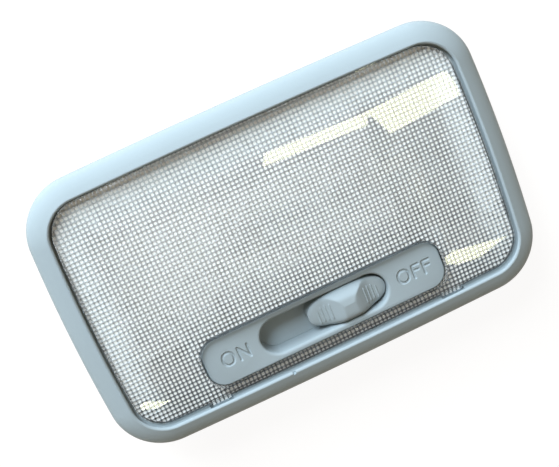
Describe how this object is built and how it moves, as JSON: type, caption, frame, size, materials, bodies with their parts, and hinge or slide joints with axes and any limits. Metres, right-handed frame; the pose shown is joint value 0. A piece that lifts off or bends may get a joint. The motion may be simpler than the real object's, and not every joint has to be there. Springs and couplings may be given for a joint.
{
  "type": "rear seat light",
  "caption": "Interior reading light for a rear seat: grey oval-cornered bezel, clear fluted lens, slide switch and a bulb over a reflector in a clip-on tray.",
  "frame": {"origin": "centre of the light's outline, on the back face of the tray", "axes": "+X along the length towards the OFF end of the switch, +Y across towards the side away from the switch, +Z out of the lens"},
  "size_m": [0.13, 0.081, 0.0242],
  "materials": {
    "bezel_plastic": "satin moulded grey plastic",
    "knob_plastic": "satin moulded grey plastic",
    "lens_plastic": "clear moulded plastic, smooth outside",
    "housing_plastic": "moulded light grey plastic",
    "reflector_metal": "bright pressed sheet",
    "base_plastic": "moulded insulating plastic",
    "contact_brass": "tinned brass strip, slightly dulled",
    "spring_steel": "spring strip",
    "screw_steel": "zinc plated",
    "cap_metal": "nickel plated",
    "filament_wire": "fine coiled wire",
    "bulb_glass": "clear blown glass"
  },
  "bodies": {
    "light": {"bezel_frame": "bezel_plastic", "lens": "lens_plastic", "rear_housing": "housing_plastic", "reflector": "reflector_metal", "detent_spring": "spring_steel", "switch_base": "base_plastic", "base_screws": "screw_steel", "feed_strip": "contact_brass", "lamp_strip": "contact_brass", "ground_strip": "contact_brass", "bulb_clip_left": "contact_brass", "bulb_clip_right": "contact_brass", "clip_rivets": "screw_steel", "bulb_glass": "bulb_glass", "bulb_cap_left": "cap_metal", "bulb_cap_right": "cap_metal", "bulb_filament": "filament_wire"},
    "switch": {"switch_knob": "knob_plastic", "contact_slider": "contact_brass"}
  },
  "joints": [
    {"name": "switch_slide", "type": "slide", "parent": "light", "child": "switch", "axis": [1, 0, 0], "range_m": [-0.0144, 0]}
  ]
}
